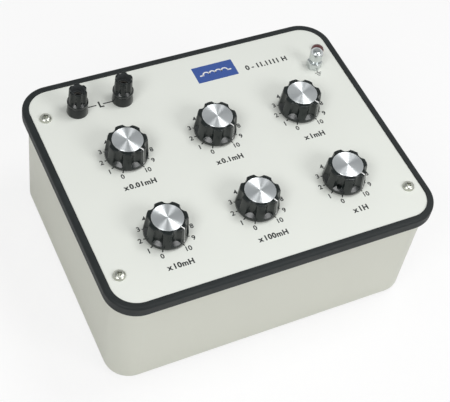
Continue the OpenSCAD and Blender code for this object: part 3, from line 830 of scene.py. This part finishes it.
class DECADEBOX_OT_knobs(bpy.types.Operator):
    """Makes the dial knobs with their discs and pointer lines"""

    bl_idname = "decade_box.knobs"
    bl_label = "Dial knobs"

    STEPS = 420
    BLEND = 0.6 * MM
    REBATE = 0.15 * MM
    DISC_GAP = 0.03 * MM

    def side(self, size):
        return FlutedSide(size, size.skirt_r, size.top_r, size.low, size.top, size.chamfer, size.edge)

    def knob(self, size):
        """The knob round the Z axis, its pointer lobe along X."""
        side = self.side(size)
        seat_r = size.disc_r + self.DISC_GAP
        profile = [(0.0, size.disc_low), (seat_r, size.disc_low), (seat_r, size.top - self.REBATE)]
        profile += [(seat_r + self.REBATE, size.top)]
        profile += side.course()
        profile += [(size.hollow_r, size.low), (size.hollow_r, size.hollow_top)]
        profile += [(size.bore_r, size.hollow_top), (size.bore_r, size.bore_top), (0.0, size.bore_top)]
        return side.flute(revolve(profile, self.STEPS), self.BLEND)

    def drill(self, size, turn):
        """A rod in the place of the set screw's hole."""
        reach = size.skirt_r
        lay = Matrix.Rotation(turn, 4, "Z")
        lay = lay @ Matrix.Translation((reach / 2 + size.bore_r, 0, size.set_screw_z))
        return rod(48, size.set_screw_r, reach, lay @ Matrix.Rotation(math.pi / 2, 4, "Y"))

    def disc(self, size):
        bevel = size.disc_bevel
        face_r = size.disc_r - bevel
        rim = [(size.disc_r, size.disc_low), (size.disc_r, size.disc_top - bevel), (face_r, size.disc_top)]
        face = [(face_r * share, size.disc_top) for share in (0.75, 0.5, 0.25, 0.08)]
        return revolve([(0.0, size.disc_low)] + rim + face + [(0.0, size.disc_top)], 128)

    def pointer(self, size):
        """A white line over the pointer lobe, from the disc's edge down to the skirt."""
        start = (size.disc_r + self.DISC_GAP + self.REBATE, size.top)
        foot = size.low + size.chamfer + 0.2 * MM
        course = [start] + [point for point in self.side(size).course() if point[1] > foot]
        mesh = bmesh.new()
        points = [mesh.verts.new((r, -size.pointer_w / 2, z)) for r, z in course]
        edges = [mesh.edges.new(pair) for pair in zip(points, points[1:])]
        strip = bmesh.ops.extrude_edge_only(mesh, edges=edges)
        new = [item for item in strip["geom"] if isinstance(item, bmesh.types.BMVert)]
        bmesh.ops.translate(mesh, vec=(0, size.pointer_w, 0), verts=new)
        for vert in mesh.verts:
            if size.shelf + 0.7 * MM < vert.co.z < size.top - 0.6 * size.edge:
                vert.co.y *= size.pointer_thin
        closed(mesh)
        for face in mesh.faces:
            if face.normal.x + face.normal.z < 0:
                face.normal_flip()
        bmesh.ops.solidify(mesh, geom=mesh.faces[:], thickness=-size.pointer_t)
        return closed(mesh)

    def execute(self, context):
        settings = context.scene.decade_box
        size, hues = settings.knob, settings.colours
        black = moulding("black knob moulding", hues.phenolic, gloss=0.18)
        metal = spun("spun aluminium", hues.aluminium)
        white = ink("white pointer line", hues.white, wear=0.9)
        steel = plated("blackened steel", (0.10, 0.10, 0.105), gloss=0.35)
        dress(steel, *(f"grub_screw_{i}" for i in DECADES))
        knob, disc, pointer = self.knob(size), self.disc(size), self.pointer(size)
        for i, dial, flute_number in zip(DECADES, DIALS, SET_SCREW_FLUTES):
            body = f"dial_{i}"
            drilled = cut(knob.copy(), self.drill(size, flute_number * math.tau / size.lobes))
            piece(moved(drilled, dial, size.rest_turn), f"dial_knob_{i}", black, body, "knob", f"knob_{i}")
            plate = disc.copy()
            layer = plate.verts.layers.float.new("radius")
            for vert in plate.verts:
                vert[layer] = vert.co.xy.length
            moved(plate, dial, size.rest_turn)
            piece(plate, f"dial_disc_{i}", metal, body, "disc", f"knob_cap_{i}", crease=30)
            piece(moved(pointer.copy(), dial, size.rest_turn), f"dial_pointer_{i}", white, body, "knob")
        for mesh in (knob, disc, pointer):
            mesh.free()
        return {"FINISHED"}


class DECADEBOX_OT_posts(bpy.types.Operator):
    """Makes the two binding posts"""

    bl_idname = "decade_box.posts"
    bl_label = "Binding posts"

    STEPS = 300
    BLEND = 0.25 * MM

    def collar(self, size):
        edge = size.collar_edge
        small = 0.3 * edge
        seat = size.collar_top - size.seat_deep
        top = [(size.stud_hole_r, seat), (size.seat_r, seat), (size.seat_r, size.collar_top)]
        outside = arc(size.collar_top_r - edge, size.collar_top - edge, edge, 90, 0, 6)
        outside += arc(size.collar_r - small, small, small, 0, -90, 3)
        spigot = [(size.spigot_r, 0.0), (size.spigot_r, size.collar_low), (size.stud_hole_r, size.collar_low)]
        return revolve(top + outside + spigot, 128, ring=True)

    def cap(self, size):
        edges = (size.cap_low, size.cap_top, size.cap_chamfer, size.cap_edge)
        side = FlutedSide(size, size.cap_body_r, size.cap_top_r, *edges, rim_r=size.cap_r)
        lip = 0.18 * MM
        cup = [(size.stud_hole_r, size.cup_floor), (size.cup_r, size.cup_floor)]
        cup += [(size.cup_r, size.cap_top - lip), (size.cup_r + 0.3 * lip, size.cap_top - 0.3 * lip)]
        cup += [(size.cup_r + lip, size.cap_top)]
        mesh = revolve(cup + side.course() + [(size.stud_hole_r, size.cap_low)], self.STEPS, ring=True)
        side.flute(mesh, self.BLEND)
        dust = mesh.verts.layers.float.new("dust")
        for vert in mesh.verts:
            if vert.co.xy.length < size.cup_r + 0.5 * lip and vert.co.z > size.cup_floor - 0.5 * lip:
                vert[dust] = 1.0
        return mesh

    def execute(self, context):
        settings = context.scene.decade_box
        size, hues = settings.post, settings.colours
        black = moulding("black post moulding", hues.post, gloss=0.16, shine=0.38)
        collar, cap = self.collar(size), self.cap(size)
        collars = join(*(moved(collar.copy(), place) for place in POSTS))
        piece(collars, "binding_post_collars", black, "box", "post", "post_collars")
        for i, place, turn in zip(POST_NUMBERS, POSTS, (size.turn_1, size.turn_2)):
            shape = moved(cap.copy(), place, turn)
            piece(shape, f"binding_post_cap_{i}", black, f"cap_{i}", "post", f"post_cap_{i}")
        for mesh in (collar, cap):
            mesh.free()
        dress(nickel_plate(hues), *(f"post_washer_{i}" for i in POST_NUMBERS))
        dress(turned("dull stud plate", hues.stud, gloss=0.30), "post_studs")
        dress(black, "post_back_bushes")
        return {"FINISHED"}


class DECADEBOX_OT_earth(bpy.types.Operator):
    """Makes the earth terminal"""

    bl_idname = "decade_box.earth"
    bl_label = "Earth terminal"

    def base(self, size):
        """Hexagonal base with bevelled edges, and the stud that runs through it."""
        corner_r = size.across / 2 / math.cos(math.pi / 6)
        block = rod(6, corner_r, size.base_top, Matrix.Translation((0, 0, size.base_top / 2)))
        bmesh.ops.bevel(
            block,
            geom=block.edges[:],
            offset=size.base_bevel,
            segments=3,
            profile=0.5,
            affect="EDGES",
            material=-1,
        )
        bevel = 0.3 * MM
        r, low, top = size.stud_r, size.stud_low, size.stud_top
        stud = [(0.0, low), (r - bevel, low), (r, low + bevel)]
        stud += [(r, top - bevel), (r - bevel, top), (0.0, top)]
        return join(closed(block), revolve(stud, 64))

    def thumb_nut(self, size):
        """Round nut with a neck below and a domed top, closed over the stud."""
        roof = size.thumb_top - size.wall
        edge = 0.6 * MM
        shoulder = size.thumb_low + size.neck_h
        low = size.thumb_low
        profile = [(0.0, roof), (size.bore_r, roof), (size.bore_r, low), (size.neck_r, low)]
        profile += [(size.neck_r, shoulder - 0.2 * MM), (size.neck_r + 0.2 * MM, shoulder)]
        profile += arc(size.thumb_r - edge, shoulder + edge, edge, -90, 0, 5)
        profile += arc(size.thumb_r - size.dome, size.thumb_top - size.dome, size.dome, 0, 90, 12)
        profile += [(0.0, size.thumb_top)]
        return revolve(profile, 128)

    def execute(self, context):
        settings = context.scene.decade_box
        size, hues = settings.earth, settings.colours
        bright = plated("bright chrome", hues.chrome, gloss=0.17)
        base = moved(self.base(size), EARTH)
        piece(base, "earth_terminal_base", bright, "box", "earth", "earth_base", crease=30)
        nut = moved(self.thumb_nut(size), EARTH)
        piece(nut, "earth_thumb_nut", bright, "earth_thumb", "earth", "earth_cap")
        dress(bright, "earth_washer")
        return {"FINISHED"}


class DECADEBOX_OT_screws(bpy.types.Operator):
    """Makes the panel screws and the red seal over one of them"""

    bl_idname = "decade_box.screws"
    bl_label = "Panel screws"

    def screw(self, size):
        """Pan head with a cross recess, and its shank."""
        r, h = size.head_r, size.head_h
        profile = [(0.0, size.shank_low), (size.shank_r - 0.4 * MM, size.shank_low)]
        profile += [(size.shank_r, size.shank_low + 0.5 * MM), (size.shank_r, 0.0), (r - 0.15 * MM, 0.0)]
        profile += [(r, 0.15 * MM), (r, 0.3 * h)]
        crown = (0.25, 0.5, 0.7, 0.85, 1.0)
        profile += [(r * (1 - 0.34 * share**2.2), h * (0.3 + 0.62 * share)) for share in crown]
        profile += [(r * 0.36, h * 0.985), (0.0, h)]
        cross = []
        for turn in (0.0, math.pi / 2):
            arm = bmesh.new()
            lay = Matrix.Diagonal((size.recess_len, size.recess_w, 4 * h, 1.0))
            bmesh.ops.create_cube(arm, size=1.0, matrix=lay)
            for vert in arm.verts:
                if vert.co.z < 0:
                    vert.co.z = h - size.recess_deep
                    vert.co.x *= 0.45
                    vert.co.y *= 0.7
            cross.append(moved(arm, (0, 0, 0), turn + size.recess_turn))
        head = revolve(profile, 96)
        for arm in cross:
            head = cut(head, arm)
        return head

    def seal(self, size):
        """A brushed-on dome of lacquer, a little uneven round its foot."""
        r, h = size.seal_r, size.seal_h
        gap = 0.05 * MM
        head_r, head_h = size.head_r + gap, size.head_h + gap
        profile = [(head_r, 0.0), (r, 0.0), (r, 0.15 * h)]
        dome = (0.3, 0.6, 0.9, 1.15, 1.35, 1.5)
        profile += [(r * math.cos(t) ** 0.55, h * (0.15 + 0.85 * math.sin(t))) for t in dome]
        profile += [(0.0, h), (0.0, head_h), (head_r * 0.7, head_h), (head_r, head_h * 0.6)]
        mesh = revolve(profile, 96, ring=True)
        for vert in mesh.verts:
            if vert.co.xy.length > head_r * 1.02 and vert.co.z < 0.3 * h:
                turn = math.atan2(vert.co.y, vert.co.x)
                vert.co.xy *= 1 - 0.02 * (1 + math.sin(3 * turn + 0.7) * math.sin(5 * turn))
        return mesh

    def execute(self, context):
        settings = context.scene.decade_box
        size, hues = settings.screw, settings.colours
        nickel = nickel_plate(hues)
        screw = self.screw(size)
        screws = join(*(moved(screw.copy(), place) for place in SCREWS))
        screw.free()
        piece(screws, "cross_head_screws", nickel, "box", "screw", "panel_screws", crease=30)
        red = lacquer("red sealing lacquer", hues.lacquer)
        seal = moved(self.seal(size), SEALED_SCREW)
        piece(seal, "lacquer_seal", red, "box", "seal", "screw_seal", crease=60)
        dress(nickel, "foot_screws")
        return {"FINISHED"}


class DECADEBOX_OT_dial_scales(bpy.types.Operator):
    """Prints the numerals and ticks round each knob, and its multiplier"""

    bl_idname = "decade_box.dial_scales"
    bl_label = "Dial scales"

    FIRST_ANGLE = 240
    STEP_ANGLE = 30
    POSITIONS = 11

    def execute(self, context):
        settings = context.scene.decade_box
        size = settings.mark
        black = black_print(settings.colours)
        low, high = film(size)
        for i, dial, multiplier in zip(DECADES, DIALS, MULTIPLIERS):
            marks = []
            for position in range(self.POSITIONS):
                turn = math.radians(self.FIRST_ANGLE - self.STEP_ANGLE * position)
                way = Vector((math.cos(turn), math.sin(turn), 0.0))
                marks.append(bar(way * size.tick_in, way * size.tick_out, size.tick_w, low, high))
                numeral = lettering(str(position), size.numeral_h, size.numeral_weight, low, high)
                marks.append(moved(numeral, way * size.numeral_r - Vector((0, size.numeral_drop, 0))))
            piece(moved(join(*marks), dial), f"dial_scale_{i}", black, "box", "panel")
            weight = size.label_weight
            label = lettering(multiplier, size.label_h, weight, low, high, spacing=1.1, sign_gap=10)
            place = dial - Vector((size.label_shift, size.label_drop, 0))
            piece(moved(label, place), f"dial_multiplier_{i}", black, "box", "panel")
        return {"FINISHED"}


class DECADEBOX_OT_panel_marks(bpy.types.Operator):
    """Prints the terminal signs, the range and the plate with a coil sign"""

    bl_idname = "decade_box.panel_marks"
    bl_label = "Panel marks"

    HUMPS = 4
    EARTH_BARS = (4.4 * MM, 2.9 * MM, 1.4 * MM)

    def terminal_sign(self, size, low, high):
        """The letter of the quantity between the posts, with a dash on each side."""
        middle_x = (POSTS[0].x + POSTS[1].x) / 2
        letter = lettering("L", size.terminal_h, size.terminal_weight, low, high)
        signs = [moved(letter, (size.terminal_shift, 0, 0))]
        for way in (-1, 1):
            start, end = way * size.dash_gap, way * (size.dash_gap + size.dash_len)
            signs.append(bar((start, 0), (end, 0), size.stroke, low, high))
        return moved(join(*signs), (middle_x, size.terminal_y, PANEL_TOP))

    def earth_sign(self, size, low, high):
        """The usual sign for earth: a stem on three bars, each shorter than the last."""
        stroke = size.earth_stroke
        signs = [bar((0, 0), (0, -size.earth_stem), stroke, low, high)]
        for row, width in enumerate(self.EARTH_BARS):
            y = -size.earth_stem - row * size.earth_gap
            signs.append(bar((-width / 2, y), (width / 2, y), stroke, low, high))
        return moved(join(*signs), EARTH - Vector((0, size.earth_drop, 0)))

    def plate(self, size, low, high):
        plate = bar((-size.plate_w / 2, 0), (size.plate_w / 2, 0), size.plate_d, low, high)
        half = 0.5 * (high - low)
        upright = [edge for edge in plate.edges if abs(edge.verts[0].co.z - edge.verts[1].co.z) > half]
        bmesh.ops.bevel(
            plate, geom=upright, offset=0.4 * MM, segments=4, profile=0.5, affect="EDGES", material=-1
        )
        return moved(plate, (size.plate_x, size.plate_y, PANEL_TOP))

    def coil_sign(self, size, low, high):
        """The usual sign for a coil: a row of humps between two leads."""
        hump_r, stroke = size.coil_hump_r, size.coil_stroke
        signs = []
        for hump in range(self.HUMPS):
            mesh = bmesh.new()
            ends = [mesh.verts.new((hump_r + way * stroke / 2, 0.0, low)) for way in (-1, 1)]
            edge = mesh.edges.new(ends)
            strip = ends + [edge]
            bmesh.ops.spin(mesh, geom=strip, cent=(0, 0, 0), axis=(0, 0, 1), angle=math.pi, steps=24)
            top = bmesh.ops.extrude_face_region(mesh, geom=mesh.faces[:])
            raised = [item for item in top["geom"] if isinstance(item, bmesh.types.BMVert)]
            bmesh.ops.translate(mesh, vec=(0, 0, high - low), verts=raised)
            signs.append(moved(closed(mesh), ((2 * hump + 1 - self.HUMPS) * hump_r, 0, 0)))
        reach = self.HUMPS * hump_r
        for way in (-1, 1):
            start, end = way * (reach - stroke / 2), way * (reach + size.coil_lead)
            signs.append(bar((start, 0), (end, 0), stroke, low, high))
        return moved(join(*signs), (size.plate_x, size.plate_y - hump_r / 2, PANEL_TOP))

    def execute(self, context):
        settings = context.scene.decade_box
        size, hues = settings.mark, settings.colours
        low, high = film(size)
        black = black_print(hues)
        piece(self.terminal_sign(size, low, high), "terminal_sign", black, "box", "panel")
        piece(self.earth_sign(size, low, high), "earth_sign", black, "box", "panel")
        text = lettering(RANGE_TEXT, size.range_h, size.range_weight, low, high, align="LEFT")
        piece(moved(text, (size.range_x, size.range_y, PANEL_TOP)), "range_text", black, "box", "panel")
        blue = ink("blue print", hues.blue, wear=1.25)
        piece(self.plate(size, low, high), "range_plate", blue, "box", "panel")
        white = ink("white print", hues.white, wear=0.93)
        piece(self.coil_sign(size, *film(size, high)), "coil_sign", white, "box", "panel")
        return {"FINISHED"}


class DECADEBOX_OT_inside(bpy.types.Operator):
    """Gives the pieces inside the case their finishes"""

    bl_idname = "decade_box.inside"
    bl_label = "Inside of the case"

    CAN_HEIGHT = 12.0 * MM

    def execute(self, context):
        hues = context.scene.decade_box.colours
        zinc = plated("zinc plate", hues.steel, gloss=0.30)
        dress(zinc, "switch_nuts", "switch_washers", "post_nuts", "earth_rear_nut")
        dress(glass_board("green board", hues.board), "coil_board")
        low, high = (corner.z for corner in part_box("decade_coils_1"))
        dress(wound_drum("wound drums", hues.copper, low, high), *(f"decade_coils_{i}" for i in DECADES))
        can_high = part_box("front_panel")[0].z
        can_low = can_high - self.CAN_HEIGHT
        switch = switch_parts("switch parts", hues.wafer, hues.steel, can_low, can_high)
        dress(switch, *(f"switch_body_{i}" for i in DECADES))
        brass = turned("turned brass", hues.brass, gloss=0.22)
        dress(brass, *(f"switch_shaft_{i}" for i in DECADES))
        dress(plated("tinned brass", (0.72, 0.70, 0.64), gloss=0.28), "solder_tags")
        dress(sleeving("red sleeving", hues.sleeve), "hookup_wires")
        return {"FINISHED"}


class DECADEBOX_OT_stage(bpy.types.Operator):
    """Lays the floor and sets the lamps, the surroundings and the camera"""

    bl_idname = "decade_box.stage"
    bl_label = "Stage"

    LAMP_REACH = 1.1
    # Name, way from the panel to the lamp, diameter in metres, power in watts
    LAMPS = (
        ("right top lamp", (0.39, 0.0, 0.92), 0.44, 4.0),
        ("left top lamp", (-0.25, 0.06, 0.966), 0.5, 0.8),
        ("right front lamp", (0.42, -0.66, 0.62), 0.45, 3.0),
        ("left front lamp", (-0.59, -0.35, 0.72), 0.45, 3.8),
    )

    def floor(self, studio):
        mesh = bmesh.new()
        bmesh.ops.create_grid(mesh, x_segments=1, y_segments=1, size=4.0)
        data = bpy.data.meshes.new("floor")
        mesh.to_mesh(data)
        mesh.free()
        finish = Finish("white floor", Roughness=0.85)
        cloud = finish.noise(300 * MM, detail=2)
        finish.surface(base_color=finish.mix(cloud, tone(studio.floor, 0.99), tone(studio.floor)))
        sight = finish.node("ShaderNodeLightPath", output="Is Camera Ray")
        glow = finish.node("ShaderNodeEmission", {}, {"Color": (1.0, 1.0, 1.0, 1.0), "Strength": 1.0})
        shader = Value(finish, finish.shader.outputs[0])
        seen = finish.node("ShaderNodeMixShader", {}, {0: sight * studio.floor_glow, 1: shader, 2: glow})
        finish.feed(finish.tree.nodes["Material Output"].inputs["Surface"], seen)
        data.materials.append(finish.material)
        floor = bpy.data.objects.new("floor", data)
        bpy.context.scene.collection.objects.link(floor)

    def surroundings(self, studio):
        """White towards the horizon and greyer overhead; at full strength where it is seen or mirrored."""
        world = bpy.data.worlds.new("studio")
        bpy.context.scene.world = world
        world.use_nodes = True
        nodes = Nodes(world.node_tree)
        way = nodes.node("ShaderNodeTexCoord", output="Generated")
        rise = nodes.node("ShaderNodeSeparateXYZ", {}, {0: way}, output=2)
        shade = nodes.spread(rise, 0.15, 0.85)
        kinds = ("Is Camera Ray", "Is Glossy Ray", "Is Transmission Ray")
        camera, glossy, through = [nodes.node("ShaderNodeLightPath", output=kind) for kind in kinds]
        seen = nodes.spread(camera + glossy + through, 0.0, 1.0)
        hue = nodes.mix(shade * seen, (1.0, 1.0, 1.0, 1.0), (0.18, 0.195, 0.20, 1.0))
        background = world.node_tree.nodes["Background"]
        nodes.feed(background.inputs["Color"], hue)
        nodes.feed(background.inputs["Strength"], studio.sky + (1.0 - studio.sky) * seen)

    def lamp(self, name, way, size, power):
        data = bpy.data.lights.new(name, "AREA")
        data.shape = "DISK"
        data.size = size
        data.energy = power
        lamp = bpy.data.objects.new(name, data)
        way = Vector(way).normalized()
        lamp.location = Vector((0, 0, PANEL_TOP)) + way * self.LAMP_REACH
        lamp.rotation_euler = way.to_track_quat("Z", "Y").to_euler()
        bpy.context.scene.collection.objects.link(lamp)

    def camera(self, studio):
        data = bpy.data.cameras.new("camera")
        data.sensor_fit = "HORIZONTAL"
        data.sensor_width = 36.0
        data.lens = studio.lens
        data.clip_start, data.clip_end = 0.01, 50.0
        camera = bpy.data.objects.new("camera", data)
        flat = math.cos(studio.tilt)
        sight = Vector(
            (flat * math.cos(studio.heading), flat * math.sin(studio.heading), -math.sin(studio.tilt))
        )
        camera.location = Vector((studio.aim_x, studio.aim_y, PANEL_TOP)) - sight * studio.distance
        camera.rotation_mode = "QUATERNION"
        camera.rotation_quaternion = sight.to_track_quat("-Z", "Y") @ Quaternion((0, 0, 1), studio.roll)
        bpy.context.scene.collection.objects.link(camera)
        bpy.context.scene.camera = camera

    def execute(self, context):
        studio = context.scene.decade_box.studio
        context.scene.view_settings.view_transform = "Standard"
        self.floor(studio)
        self.surroundings(studio)
        for name, way, size, power in self.LAMPS:
            self.lamp(name, way, size, power * studio.lamp_power)
        self.camera(studio)
        return {"FINISHED"}


OPERATORS = (
    DECADEBOX_OT_stage,
    DECADEBOX_OT_case,
    DECADEBOX_OT_knobs,
    DECADEBOX_OT_posts,
    DECADEBOX_OT_earth,
    DECADEBOX_OT_screws,
    DECADEBOX_OT_dial_scales,
    DECADEBOX_OT_panel_marks,
    DECADEBOX_OT_inside,
)


class DECADEBOX_PT_sidebar(bpy.types.Panel):
    """Lists the steps of the decade box and its settings"""

    bl_idname = "DECADEBOX_PT_sidebar"
    bl_label = "Decade Box"
    bl_space_type = "VIEW_3D"
    bl_region_type = "UI"
    bl_category = "Decade Box"

    def draw(self, context):
        for operator in OPERATORS:
            self.layout.operator(operator.bl_idname)
        settings = context.scene.decade_box
        for group in settings.bl_rna.properties:
            if group.type == "POINTER" and group.identifier != "rna_type":
                box = self.layout.box()
                box.label(text=group.identifier.title())
                values = getattr(settings, group.identifier)
                for prop in values.bl_rna.properties:
                    if prop.identifier not in ("rna_type", "name"):
                        box.prop(values, prop.identifier)


CLASSES = (
    KnobSizes,
    PostSizes,
    EarthSizes,
    ScrewSizes,
    MarkSizes,
    Colours,
    Studio,
    BoxSettings,
    *OPERATORS,
    DECADEBOX_PT_sidebar,
)


def register():
    for cls in CLASSES:
        bpy.utils.register_class(cls)
    bpy.types.Scene.decade_box = PointerProperty(type=BoxSettings)


def unregister():
    del bpy.types.Scene.decade_box
    for cls in reversed(CLASSES):
        bpy.utils.unregister_class(cls)


def main():
    register()
    bpy.ops.decade_box.stage()
    bpy.ops.decade_box.case()
    bpy.ops.decade_box.knobs()
    bpy.ops.decade_box.posts()
    bpy.ops.decade_box.earth()
    bpy.ops.decade_box.screws()
    bpy.ops.decade_box.dial_scales()
    bpy.ops.decade_box.panel_marks()
    bpy.ops.decade_box.inside()


if __name__ == "__main__":
    main()
